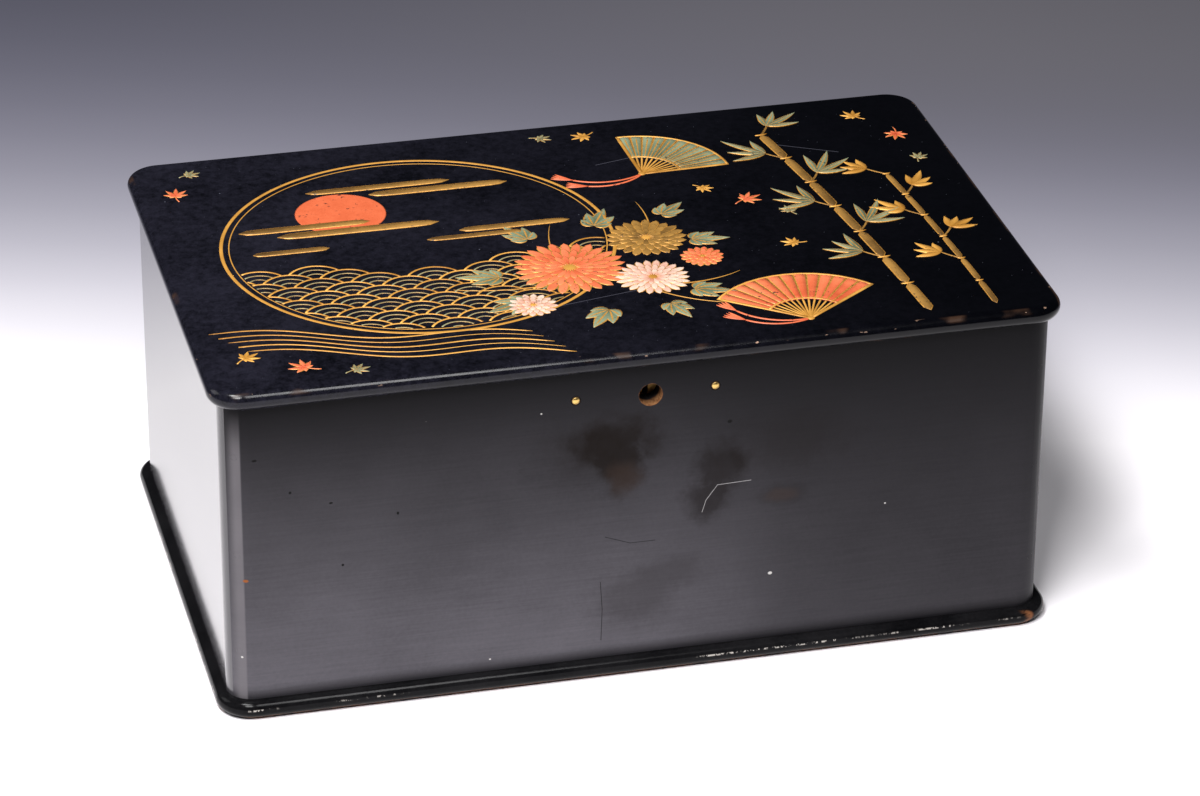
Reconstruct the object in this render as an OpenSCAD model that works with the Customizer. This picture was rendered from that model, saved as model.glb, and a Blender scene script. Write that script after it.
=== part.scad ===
// Deed box of lacquered wood, with a hinged lid and a small brass box lock.
// Millimetres. +X is to the right, -Y is the front and +Z is up.
// The origin is at the middle of the underside of the base board.

/* [Carcase] */
// Width over the side walls
body_w = 320; // [280:1:400]
// Depth over the front and back walls
body_d = 198; // [150:1:260]
// Height of the walls between base board and lid
wall_h = 123.8; // [90:0.1:180]
// Thickness of the wall boards
wall_t = 9; // [8:0.1:12]
// Radius of the rounded upright corners
corner_r = 10.4; // [7:0.1:12]

/* [Base board] */
// Thickness of the base board
base_t = 7; // [5:0.1:11]
// How far the base board stands out past the walls
base_overhang = 4.2; // [2:0.1:8]
// Plan radius of the base board's corners
base_corner_r = 14; // [12:0.1:24]

/* [Lid board] */
// Thickness of the lid board
lid_t = 7.4; // [6:0.1:11]
// How far the lid stands out past the walls
lid_overhang = 4; // [3:0.1:8]
// Plan radius of the lid's corners
lid_corner_r = 13; // [12:0.1:24]

/* [Wooden pegs] */
// Diameter of the pegs that hold the corner joints
corner_peg_d = 2.4; // [1.8:0.1:3]
// Length of a corner peg past the lap
corner_peg_reach = 14; // [8:0.5:20]
// Pegs in each corner
corner_peg_count = 3; // [2:1:5]
// Diameter of the pegs that hold the base board
base_peg_d = 3; // [2:0.1:4]
// How far a base peg reaches up into a wall
base_peg_reach = 12; // [8:0.5:20]
// Distance of the outer base pegs from the outside faces of the walls
base_peg_inset = 50; // [30:1:60]

/* [Hinges] */
// Distance of a hinge's middle from the side wall's outside face
hinge_inset = 65; // [45:1:90]
// Length of a hinge along the back edge
hinge_len = 38; // [32:1:60]
// Outside diameter of the hinge knuckles
knuckle_d = 4.4; // [4:0.1:5]
// Diameter of the hinge pin
hinge_pin_d = 1.8; // [1.4:0.1:2.2]
// Thickness of a hinge leaf
leaf_t = 1.1; // [0.9:0.1:1.5]
// Wood left between a hinge leaf and the inside face of the back wall
leaf_land = 1.5; // [1:0.1:2.5]
// Distance of the hinge pin's middle behind the back wall's face
hinge_setback = 0.3; // [0.2:0.1:0.8]

/* [Screws] */
// Diameter of the brass screws' heads
screw_head_d = 3; // [2.6:0.1:3.4]
// Diameter of the brass screws' shanks
screw_shank_d = 1.6; // [1.2:0.1:2]
// Length of the screws in the wall
wall_screw_len = 9; // [6:0.5:14]
// Length of the screws in the lid
lid_screw_len = 5; // [4:0.1:5.4]
// Distance between the screws of one hinge leaf
hinge_screw_pitch = 13; // [9:0.5:14]

/* [Keyhole and lock pins] */
// Place of the keyhole to the right of the box's middle
keyhole_x = 1.9; // [0:0.1:3]
// Depth of the keyhole's middle below the top of the wall
keyhole_drop = 12.8; // [12:0.1:15]
// Diameter of the keyhole in the front wall
keyhole_d = 9.1; // [8:0.1:12]
// Distance between the two brass pins that hold the lock
pin_spacing = 53.7; // [52:0.1:70]
// Depth of the pins below the top of the wall
pin_drop = 11.9; // [9:0.1:16]
// Diameter of a pin's head
pin_head_d = 3.2; // [2.8:0.1:3.8]
// Diameter of a pin's shank
pin_shank_d = 2.4; // [1.8:0.1:2.6]

/* [Lock] */
// Height of the lock
lock_h = 30; // [27:0.5:36]
// Depth of the lock inward from the front wall's inside face
lock_depth = 10; // [9.6:0.1:13]
// Thickness of the lock's back plate
plate_t = 1.4; // [1:0.1:1.8]
// Thickness of the lock's cap
cap_t = 1.2; // [0.8:0.1:1.5]
// Thickness of the lock's top plate
top_plate_t = 1.5; // [1:0.1:1.8]
// Brass left around each pin at the ends of the back plate
ear = 5; // [3.5:0.1:8]
// Diameter of the studs that guide the bolt
stud_d = 2.4; // [2:0.1:2.8]
// Diameter of the post that a hollow key turns on
post_d = 1.8; // [1.4:0.1:2.2]

/* [Bolt and links] */
// How far the bolt slides
bolt_travel = 5; // [4.6:0.1:5.4]
// Thickness of the bolt
bolt_t = 2.2; // [1.8:0.1:2.4]
// Height of the prongs on the bolt's two hooks
prong_h = 4; // [3:0.1:4.6]
// Distance between the middles of the two links
link_spacing = 20; // [19:0.1:22]
// Thickness of a link across the bolt
link_t = 3; // [2.4:0.1:3.2]
// Width of a link from front to back
link_w = 5.4; // [5.2:0.1:5.8]
// How far a link hangs below the lid
link_drop = 9.4; // [8.8:0.1:10]
// Thickness of a link's legs
link_leg = 1.2; // [1:0.1:1.3]
// Thickness of the link plate let into the lid
link_plate_t = 1.2; // [1:0.1:1.6]

/* [Hidden] */
$fn = 64;

// Clearance all round a fastener or a turning pin
fit = 0.05;
// Gap between pieces that pass each other
gap = 0.5;
// Gap around what is let into the wood
let_in = 0.1;
// How far a cutting shape runs past what it cuts
over = 1;

// Heights and faces that several pieces share
wall_top = base_t + wall_h;
front_y = -body_d / 2;
inner_y = front_y + wall_t;
back_y = body_d / 2;
side_x = body_w / 2;
lap = wall_t / 2;
hinge_x = side_x - hinge_inset;

// Hinge: the pin lies on the plane where lid and wall meet
hinge_y = back_y + hinge_setback;
knuckle_r = knuckle_d / 2;
hinge_room = knuckle_r + 0.3;
leaf_front_y = back_y - wall_t + leaf_land;
leaf_back_y = hinge_y - hinge_room;
hinge_screw_y = (leaf_front_y + leaf_back_y) / 2;
pin_head_t = 0.6;
pin_head_r = hinge_pin_d / 2 + 0.5;

// Screws: the head's cone falls away at 45 degrees
screw_head_h = (screw_head_d - screw_shank_d) / 2;
screw_sink = 0.1;
screw_slot_w = 0.5;
screw_slot_h = 0.35;
screw_tip = 1.2;

// Lock: faces of its plates, and the plane that the bolt slides in
plate_y = inner_y + plate_t;
cap_y = inner_y + lock_depth;
cavity_end_y = cap_y - cap_t;
bolt_y = (plate_y + cavity_end_y) / 2;
lock_bottom = wall_top - lock_h;
lock_floor = lock_bottom + cap_t;
under_top_plate = wall_top - top_plate_t;
cap_half = pin_spacing / 2 - pin_shank_d / 2 - 1.25;
cap_inner_half = cap_half - cap_t;
back_plate_half = pin_spacing / 2 + ear;
pin_z = wall_top - pin_drop;
keyhole_z = wall_top - keyhole_drop;

// The key turns on the post, a little above the keyhole's middle
key_lift = 1.6;
key_z = keyhole_z + key_lift;
key_bit_r = 5.6;
key_room = 2.3;

// Links: two square loops that hang from the lid into the lock
link_x = link_spacing / 2;
link_bar = 1.6;
link_bottom = wall_top - link_drop;
eye_bottom = link_bottom + link_bar;
link_room = 0.6;
link_plate_end = 9.5;
link_plate_half = link_x + link_t / 2 + link_plate_end;
link_screw_inset = 3.2;
link_screw_x = link_plate_half - link_screw_inset;

// Bolt, drawn back to the left with the prongs of its two hooks clear of the links
bolt_end_gap = 2.6;
neck_room = 1.2;
bolt_left = -(cap_inner_half - bolt_end_gap);
bolt_right = -bolt_left - bolt_travel;
bolt_top = link_bottom - gap;
bolt_rail = 2.6;
talon_bottom = key_z - key_bit_r - 0.4;
bolt_bottom = talon_bottom - bolt_rail;
talon_w = 4.2;
prong_bottom = eye_bottom + 0.4;
prong_top = prong_bottom + prong_h;
prong_end = link_x - link_t / 2 - gap;
right_neck_end = link_x - link_t / 2 - neck_room - bolt_travel;
bolt_front = bolt_y - bolt_t / 2;
bolt_back = bolt_y + bolt_t / 2;
stud_r = stud_d / 2;
stud_lift = 2.8;
stud_z = bolt_bottom + stud_r + stud_lift;
slot_edge = 2.2;
hook_room = 3;
right_stud_x = bolt_right - slot_edge - stud_r;
left_stud_x = bolt_left + slot_edge + hook_room + stud_r + bolt_travel;

// Bow spring that presses up on the bolt from the lock's floor
spring_t = 0.5;
spring_half = 17;
spring_foot = 3;
spring_crown = bolt_bottom - 0.3;
spring_rise = spring_crown - lock_floor;
spring_r = (spring_half * spring_half + spring_rise * spring_rise) / (2 * spring_rise);

// Colours
lacquer = [0.05, 0.05, 0.06];
bare_wood = [0.45, 0.30, 0.17];
brass = [0.78, 0.62, 0.30];
steel = [0.50, 0.50, 0.52];

// Basic shapes

module box_between(low, high) {
    translate(low) cube(high - low);
}

// Round bar along Y from one face to another
module bar_y(x, z, y0, y1, r) {
    translate([x, y0, z]) rotate([-90, 0, 0]) cylinder(r = r, h = y1 - y0);
}

// Round bar along X from one end to the other
module bar_x(x0, x1, y, z, r) {
    translate([x0, y, z]) rotate([0, 90, 0]) cylinder(r = r, h = x1 - x0);
}

// Half of a board's edge: flat inside, a full half round outside
module edge_profile(reach, t) {
    square([reach - t / 2, t]);
    translate([reach - t / 2, t / 2]) circle(d = t);
}

// Board with a half-round edge all round and rounded corners in plan
module bullnose_board(w, d, t, r) {
    long = w - 2 * r;
    deep = d - 2 * r;
    translate([-long / 2, -deep / 2, 0]) cube([long, deep, t]);
    for (s = [0, 1]) rotate([0, 0, 180 * s]) {
        translate([long / 2, deep / 2, 0]) rotate([90, 0, 0])
            linear_extrude(deep) edge_profile(r, t);
        translate([-long / 2, deep / 2, 0]) rotate([90, 0, 90])
            linear_extrude(long) edge_profile(r, t);
        translate([long / 2, deep / 2, 0])
            rotate_extrude(angle = 90) edge_profile(r, t);
        translate([-long / 2, deep / 2, 0]) rotate([0, 0, 90])
            rotate_extrude(angle = 90) edge_profile(r, t);
    }
}

// The outside form of the four walls together, as one solid prism
module carcase_form() {
    long = body_w - 2 * corner_r;
    deep = body_d - 2 * corner_r;
    translate([-long / 2, front_y, base_t]) cube([long, body_d, wall_h]);
    translate([-side_x, -deep / 2, base_t]) cube([body_w, deep, wall_h]);
    for (sx = [-1, 1]) for (sy = [-1, 1])
        translate([sx * long / 2, sy * deep / 2, base_t])
            cylinder(r = corner_r, h = wall_h);
}

// Places of the pegs
corner_peg_x = side_x - wall_t / 2;
function corner_peg_z(i) = base_t + wall_h * (i + 0.5) / corner_peg_count;
base_peg_places = concat(
    [for (sy = [-1, 1]) for (i = [-1, 0, 1])
        [i * (side_x - base_peg_inset), sy * (back_y - wall_t / 2)]],
    [for (sx = [-1, 1]) for (i = [-1, 1])
        [sx * (side_x - wall_t / 2), i * (back_y - base_peg_inset)]]
);

module corner_peg_bars(extra) {
    for (sx = [-1, 1]) for (sy = [-1, 1]) for (i = [0 : corner_peg_count - 1])
        scale([1, sy, 1])
            bar_y(sx * corner_peg_x, corner_peg_z(i), front_y - over,
                front_y + lap + corner_peg_reach, corner_peg_d / 2 + extra);
}

module base_peg_bars(extra, low) {
    for (p = base_peg_places)
        translate([p[0], p[1], low])
            cylinder(r = base_peg_d / 2 + extra, h = base_t + base_peg_reach - low);
}

// Wood screw that points down, with the top of its head at the origin
module screw(len) {
    difference() {
        union() {
            translate([0, 0, -screw_head_h])
                cylinder(r1 = screw_shank_d / 2, r2 = screw_head_d / 2, h = screw_head_h);
            translate([0, 0, screw_tip - len])
                cylinder(d = screw_shank_d, h = len - screw_head_h - screw_tip);
            translate([0, 0, -len])
                cylinder(r1 = 0.1, r2 = screw_shank_d / 2, h = screw_tip);
        }
        translate([-screw_head_d, -screw_slot_w / 2, -screw_slot_h])
            cube([2 * screw_head_d, screw_slot_w, over]);
    }
}

// Room for that screw in wood and brass
module screw_room(len) {
    r = screw_shank_d / 2 + fit;
    head_r = screw_head_d / 2 + fit;
    translate([0, 0, -screw_head_h]) cylinder(r1 = r, r2 = head_r, h = screw_head_h);
    cylinder(r = head_r, h = over);
    translate([0, 0, -len - fit]) cylinder(r = r, h = len);
}

module at_box_screws(side) {
    for (i = [-1, 0, 1])
        translate([side * hinge_x + i * hinge_screw_pitch, hinge_screw_y,
            wall_top - screw_sink]) children();
}

module at_lid_screws(side) {
    for (i = [-1, 0, 1])
        translate([side * hinge_x + i * hinge_screw_pitch, hinge_screw_y,
            wall_top + screw_sink]) mirror([0, 0, 1]) children();
}

module at_link_screws() {
    for (s = [-1, 1])
        translate([s * link_screw_x, bolt_y, wall_top + screw_sink])
            mirror([0, 0, 1]) children();
}

// Room for a hinge's knuckles, the same in the wall and in the lid
module knuckle_room(side) {
    half = hinge_len / 2 + pin_head_t + let_in;
    bar_x(side * hinge_x - half, side * hinge_x + half,
        hinge_y, wall_top, hinge_room);
}

// Carcase

module base_board() color(lacquer) {
    difference() {
        bullnose_board(body_w + 2 * base_overhang, body_d + 2 * base_overhang,
            base_t, base_corner_r);
        base_peg_bars(fit, -over);
    }
}

module front_wall() color(lacquer) {
    difference() {
        intersection() {
            carcase_form();
            box_between([-side_x, front_y, base_t], [side_x, inner_y, wall_top]);
        }
        end_rebates(1);
        corner_peg_bars(fit);
        base_peg_bars(fit, 0);
        bar_y(keyhole_x, keyhole_z, front_y - over, inner_y + over, keyhole_d / 2);
        for (s = [-1, 1]) {
            bar_y(s * pin_spacing / 2, pin_z, front_y - over, inner_y + over,
                pin_shank_d / 2 + fit);
            bar_y(s * pin_spacing / 2, pin_z, front_y - over, front_y + lock_pin_head_t,
                pin_head_d / 2 + lock_pin_ring);
        }
    }
}

// The inner half of each end of the front and back walls is cut away for the sides
module end_rebates(facing) {
    for (s = [-1, 1]) scale([s, facing, 1])
        box_between([side_x - wall_t, front_y + lap, base_t - over],
            [side_x + over, inner_y + over, wall_top + over]);
}

module back_wall() color(lacquer) {
    difference() {
        intersection() {
            carcase_form();
            box_between([-side_x, -inner_y, base_t], [side_x, back_y, wall_top]);
        }
        end_rebates(-1);
        corner_peg_bars(fit);
        base_peg_bars(fit, 0);
        for (side = [-1, 1]) {
            leaf_pocket(side, wall_top - leaf_t, wall_top + over);
            knuckle_room(side);
            at_box_screws(side) screw_room(wall_screw_len);
        }
    }
}

// Pocket that one hinge leaf is let into
module leaf_pocket(side, z0, z1) {
    mid = side * hinge_x;
    half = hinge_len / 2 + let_in;
    box_between([mid - half, leaf_front_y - let_in, z0], [mid + half, hinge_y, z1]);
}

module side_wall(side) {
    difference() {
        intersection() {
            carcase_form();
            scale([side, 1, 1])
                box_between([side_x - wall_t, front_y + lap, base_t],
                    [side_x, back_y - lap, wall_top]);
        }
        corner_peg_bars(fit);
        base_peg_bars(fit, 0);
    }
}

module left_wall() color(lacquer) side_wall(-1);

module right_wall() color(lacquer) side_wall(1);

module corner_pegs() color(bare_wood) {
    intersection() {
        carcase_form();
        corner_peg_bars(0);
    }
}

module base_pegs() color(bare_wood) base_peg_bars(0, 0);

// Hinges: three knuckles on one pin, the outer two on the box and the middle on the lid

knuckle_len = hinge_len / 3;

// Leaf between two heights, with the knuckles that are listed from -1 to 1
module hinge_leaf(side, z0, z1, knuckles) {
    mid = side * hinge_x;
    difference() {
        union() {
            box_between([mid - hinge_len / 2, leaf_front_y, z0],
                [mid + hinge_len / 2, leaf_back_y, z1]);
            for (k = knuckles) {
                x0 = mid + (k - 0.5) * knuckle_len + let_in;
                x1 = mid + (k + 0.5) * knuckle_len - let_in;
                bar_x(x0, x1, hinge_y, wall_top, knuckle_r);
                box_between([x0, leaf_back_y - over, z0], [x1, hinge_y, z1]);
            }
        }
        bar_x(mid - hinge_len, mid + hinge_len, hinge_y, wall_top, hinge_pin_d / 2 + fit);
    }
}

module box_leaf(side) {
    difference() {
        hinge_leaf(side, wall_top - leaf_t, wall_top, [-1, 1]);
        at_box_screws(side) screw_room(leaf_t + over);
    }
}

module lid_leaf(side) {
    difference() {
        hinge_leaf(side, wall_top, wall_top + leaf_t, [0]);
        at_lid_screws(side) screw_room(leaf_t + over);
    }
}

module hinge_pin(side) {
    mid = side * hinge_x;
    half = hinge_len / 2;
    bar_x(mid - half, mid + half, hinge_y, wall_top, hinge_pin_d / 2);
    bar_x(mid - half - pin_head_t, mid - half, hinge_y, wall_top, pin_head_r);
    bar_x(mid + half, mid + half + pin_head_t, hinge_y, wall_top, pin_head_r);
}

module left_hinge_box_leaf() color(brass) box_leaf(-1);

module right_hinge_box_leaf() color(brass) box_leaf(1);

module left_hinge_lid_leaf() color(brass) lid_leaf(-1);

module right_hinge_lid_leaf() color(brass) lid_leaf(1);

module left_hinge_pin() color(brass) hinge_pin(-1);

module right_hinge_pin() color(brass) hinge_pin(1);

module left_hinge_box_screws() color(brass) at_box_screws(-1) screw(wall_screw_len);

module right_hinge_box_screws() color(brass) at_box_screws(1) screw(wall_screw_len);

module left_hinge_lid_screws() color(brass) at_lid_screws(-1) screw(lid_screw_len);

module right_hinge_lid_screws() color(brass) at_lid_screws(1) screw(lid_screw_len);

// Lock, on the inside face of the front wall

// Head of a lock pin, the dark ring left around it and its riveted tail
lock_pin_head_t = 0.8;
lock_pin_ring = 0.35;
lock_pin_proud = 0.1;
lock_pin_tail_t = 0.7;
lock_pin_tail_r = pin_shank_d / 2 + 0.5;

module lock_pin(side) {
    x = side * pin_spacing / 2;
    bar_y(x, pin_z, front_y - lock_pin_proud, front_y + lock_pin_head_t, pin_head_d / 2);
    bar_y(x, pin_z, front_y, plate_y, pin_shank_d / 2);
    bar_y(x, pin_z, plate_y, plate_y + lock_pin_tail_t, lock_pin_tail_r);
}

module lock_left_pin() color(brass) lock_pin(-1);

module lock_right_pin() color(brass) lock_pin(1);

module stud_bars(extra) {
    for (x = [left_stud_x, right_stud_x])
        bar_y(x, stud_z, inner_y, cap_y, stud_r + extra);
}

module lock_studs() color(steel) stud_bars(0);

// The key's own hole: round for its shank, with a slot below for its bit
module lock_back_plate() color(brass) {
    slot_half = 1.2;
    difference() {
        box_between([-back_plate_half, inner_y, lock_bottom],
            [back_plate_half, plate_y, under_top_plate]);
        bar_y(keyhole_x, key_z, inner_y - over, plate_y + over, key_room);
        box_between([keyhole_x - slot_half, inner_y - over, key_z - key_bit_r - gap / 2],
            [keyhole_x + slot_half, plate_y + over, key_z]);
        for (s = [-1, 1])
            bar_y(s * pin_spacing / 2, pin_z, inner_y - over, plate_y + over,
                pin_shank_d / 2 + fit);
        stud_bars(fit);
    }
}

module lock_top_plate() color(brass) {
    difference() {
        box_between([-cap_half, inner_y, under_top_plate], [cap_half, cap_y, wall_top]);
        for (s = [-1, 1]) translate([s * link_x, bolt_y, 0])
            box_between(
                [-link_t / 2 - link_room, -link_w / 2 - link_room, under_top_plate - over],
                [link_t / 2 + link_room, link_w / 2 + link_room, wall_top + over]);
    }
}

module lock_cap() color(brass) {
    difference() {
        box_between([-cap_half, plate_y, lock_bottom], [cap_half, cap_y, under_top_plate]);
        box_between([-cap_inner_half, plate_y - over, lock_floor],
            [cap_inner_half, cavity_end_y, under_top_plate + over]);
        stud_bars(fit);
        bar_y(keyhole_x, key_z, cavity_end_y - over, cap_y + over, post_d / 2 + fit);
    }
}

module lock_key_post() color(steel)
    bar_y(keyhole_x, key_z, plate_y - gap, cap_y, post_d / 2);

// Ring around the key's path that a wrong key would strike
module lock_ward() color(brass) {
    ward_r = 3.4;
    ward_t = 0.6;
    ward_h = 1.1;
    ward_gap = 60;
    translate([keyhole_x, cavity_end_y, key_z]) rotate([90, 0, 0])
        rotate([0, 0, -90 + ward_gap / 2])
            rotate_extrude(angle = 360 - ward_gap)
                translate([ward_r, 0]) square([ward_t, ward_h]);
}

module lock_spring() color(steel) {
    foot_in = spring_half - 0.6;
    translate([keyhole_x - bolt_travel / 2, bolt_y + bolt_t / 2, 0]) rotate([90, 0, 0])
        linear_extrude(bolt_t) {
            intersection() {
                translate([0, spring_crown - spring_r]) difference() {
                    circle(r = spring_r, $fn = 180);
                    circle(r = spring_r - spring_t, $fn = 180);
                }
                translate([-spring_half, lock_floor])
                    square([2 * spring_half, spring_rise + over]);
            }
            for (s = [-1, 1]) translate([s * foot_in - spring_foot / 2, lock_floor])
                square([spring_foot, spring_t]);
        }
}

// Bolt: a plate with two guide slots, the key's window and its talon
module lock_bolt() color(steel) {
    difference() {
        box_between([bolt_left, bolt_front, bolt_bottom], [bolt_right, bolt_back, bolt_top]);
        box_between([keyhole_x - key_room - bolt_travel, bolt_front - over, key_z - key_room],
            [keyhole_x + key_room, bolt_back + over, key_z + key_room]);
        translate([keyhole_x - bolt_travel / 2, 0, 0])
            box_between([-talon_w / 2, bolt_front - over, talon_bottom],
                [talon_w / 2, bolt_back + over, key_z]);
        for (x = [left_stud_x, right_stud_x]) {
            bar_y(x, stud_z, bolt_front - over, bolt_back + over, stud_r + fit);
            bar_y(x - bolt_travel, stud_z, bolt_front - over, bolt_back + over, stud_r + fit);
            box_between([x - bolt_travel, bolt_front - over, stud_z - stud_r - fit],
                [x, bolt_back + over, stud_z + stud_r + fit]);
        }
    }
}

// Hook brazed on the bolt's top edge: a neck, and a prong that enters a link
module bolt_hook(neck_left, neck_right, prong_right) {
    box_between([neck_left, bolt_front, bolt_top], [neck_right, bolt_back, prong_top]);
    box_between([neck_left, bolt_front, prong_bottom], [prong_right, bolt_back, prong_top]);
}

module left_bolt_hook() color(steel)
    bolt_hook(bolt_left, right_neck_end - link_spacing, prong_end - link_spacing);

module right_bolt_hook() color(steel) bolt_hook(-prong_end, right_neck_end, prong_end);

// Lid and what is fixed to it

module lid_board() color(lacquer) {
    difference() {
        translate([0, 0, wall_top])
            bullnose_board(body_w + 2 * lid_overhang, body_d + 2 * lid_overhang,
                lid_t, lid_corner_r);
        for (side = [-1, 1]) {
            leaf_pocket(side, wall_top - over, wall_top + leaf_t);
            knuckle_room(side);
            at_lid_screws(side) screw_room(lid_screw_len);
        }
        box_between([-link_plate_half - let_in, inner_y - let_in, wall_top - over],
            [link_plate_half + let_in, cap_y + let_in, wall_top + link_plate_t]);
        at_link_screws() screw_room(lid_screw_len);
    }
}

module link_plate() color(brass) {
    difference() {
        box_between([-link_plate_half, inner_y, wall_top],
            [link_plate_half, cap_y, wall_top + link_plate_t]);
        at_link_screws() screw_room(link_plate_t + over);
        for (s = [-1, 1]) link_legs(s, fit, wall_top - over, wall_top + link_plate_t + over);
    }
}

module link_legs(side, extra, z0, z1) {
    for (end = [-1, 1]) translate([side * link_x, bolt_y, 0])
        translate([0, end * (link_w - link_leg) / 2, 0])
            box_between([-link_t / 2 - extra, -link_leg / 2 - extra, z0],
                [link_t / 2 + extra, link_leg / 2 + extra, z1]);
}

module link(side) {
    link_legs(side, 0, link_bottom, wall_top + link_plate_t);
    translate([side * link_x, bolt_y, 0])
        box_between([-link_t / 2, -link_w / 2, link_bottom],
            [link_t / 2, link_w / 2, eye_bottom]);
}

module left_link() color(brass) link(-1);

module right_link() color(brass) link(1);

module link_screws() color(brass) at_link_screws() screw(lid_screw_len);

base_board();
front_wall();
back_wall();
left_wall();
right_wall();
corner_pegs();
base_pegs();
left_hinge_box_leaf();
right_hinge_box_leaf();
left_hinge_pin();
right_hinge_pin();
left_hinge_box_screws();
right_hinge_box_screws();
lock_back_plate();
lock_top_plate();
lock_cap();
lock_left_pin();
lock_right_pin();
lock_studs();
lock_key_post();
lock_ward();
lock_spring();
lock_bolt();
left_bolt_hook();
right_bolt_hook();
lid_board();
left_hinge_lid_leaf();
right_hinge_lid_leaf();
left_hinge_lid_screws();
right_hinge_lid_screws();
link_plate();
left_link();
right_link();
link_screws();
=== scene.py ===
# %% [markdown]
# # A black lacquered deed box
# The box comes in as exact solids: boards, pegs, hinges and a small lock. This lesson gives it its looks.
# The boards keep their exact shapes and get worn black lacquer, the lid gets raised ornament in gold, coral
# and green, and the camera and the lights stand where a photographer would put them.
# Lengths are in metres unless a name ends in _mm. +X is right, -Y is the front and +Z is up.

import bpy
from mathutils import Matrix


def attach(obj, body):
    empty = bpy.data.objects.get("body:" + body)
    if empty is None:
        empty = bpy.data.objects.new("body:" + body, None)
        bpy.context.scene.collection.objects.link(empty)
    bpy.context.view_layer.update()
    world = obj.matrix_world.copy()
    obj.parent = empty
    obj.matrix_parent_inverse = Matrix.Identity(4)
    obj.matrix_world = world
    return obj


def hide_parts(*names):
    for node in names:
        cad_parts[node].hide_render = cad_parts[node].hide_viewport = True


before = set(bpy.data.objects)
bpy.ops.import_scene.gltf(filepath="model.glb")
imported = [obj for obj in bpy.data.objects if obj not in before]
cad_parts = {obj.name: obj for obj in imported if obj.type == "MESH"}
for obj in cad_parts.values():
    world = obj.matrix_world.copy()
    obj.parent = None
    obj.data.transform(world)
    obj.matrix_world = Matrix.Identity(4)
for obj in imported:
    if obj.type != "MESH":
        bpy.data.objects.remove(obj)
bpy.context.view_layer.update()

# %% Modules
import random
from math import cos, degrees, pi, radians, sin, sqrt

import bmesh
import bpy
from mathutils import Matrix, Vector

MM = 0.001
scene = bpy.context.scene

# %% [markdown]
# ## Camera
# A camera can be matched to a photograph by measuring a few edges whose lengths are known and solving for the
# place, the three turns and the lens that put them there. That was done beforehand, so only its answer is kept:
# a long lens from the left and well above, which keeps the box's upright edges nearly parallel.

# %% Camera
IMAGE_WIDTH = 1200
FOCAL_LENGTH_PX = 4784.03
SENSOR_MM = 36
YAW, PITCH, ROLL = -0.246818, 0.484426, 0.006854
CAMERA_PLACE = (-0.4018, -1.6238, 0.9465)

forward = Vector((-sin(YAW) * cos(PITCH), cos(YAW) * cos(PITCH), -sin(PITCH)))
level_right = Vector((cos(YAW), sin(YAW), 0))
level_up = level_right.cross(forward)
right = level_right * cos(ROLL) + level_up * sin(ROLL)
up = level_up * cos(ROLL) - level_right * sin(ROLL)

camera_data = bpy.data.cameras.new("camera")
camera_data.sensor_fit = "HORIZONTAL"
camera_data.sensor_width = SENSOR_MM
camera_data.lens = FOCAL_LENGTH_PX / IMAGE_WIDTH * SENSOR_MM
camera_data.clip_start, camera_data.clip_end = 0.05, 50
camera = bpy.data.objects.new("camera", camera_data)
scene.collection.objects.link(camera)
camera.matrix_world = Matrix((right, up, -forward)).transposed().to_4x4()
camera.location = CAMERA_PLACE
scene.camera = camera
scene.view_settings.view_transform = "Standard"
print("lens in mm:", round(camera_data.lens, 1))

# %% [markdown]
# ## Writing a finish as sums
# A material is a net of nodes. Masks and patterns are easier to read as sums and products, so a Field stands
# for one socket, and adding or multiplying fields adds the Math nodes. A Finish is one material: its node
# method makes any node from its kind, its settings and the values of its sockets.

# %% Field and Finish
class Field:
    """One socket of a finish. Sums and products of fields become Math nodes."""

    def __init__(self, finish, socket):
        self.finish, self.socket = finish, socket

    def math(self, operation, *values):
        return self.finish.node("Math", {"operation": operation}, dict(enumerate(values)))

    def __add__(self, other):
        return self.math("ADD", self, other)

    def __sub__(self, other):
        return self.math("SUBTRACT", self, other)

    def __rsub__(self, other):
        return self.math("SUBTRACT", other, self)

    def __mul__(self, other):
        return self.math("MULTIPLY", self, other)

    def __truediv__(self, other):
        return self.math("DIVIDE", self, other)

    __radd__ = __add__
    __rmul__ = __mul__

    def power(self, exponent):
        return self.math("POWER", self, exponent)

    def absolute(self):
        return self.math("ABSOLUTE", self)

    def at_least(self, other):
        return self.math("MAXIMUM", self, other)

    def at_most(self, other):
        return self.math("MINIMUM", self, other)

    def rise(self, low, high):
        """0 below low, 1 above high and a smooth step between them."""
        values = {0: self, 1: low, 2: high, 3: 0.0, 4: 1.0}
        return self.finish.node("MapRange", {"interpolation_type": "SMOOTHSTEP"}, values)

    def fall(self, low, high):
        return 1 - self.rise(low, high)


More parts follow.
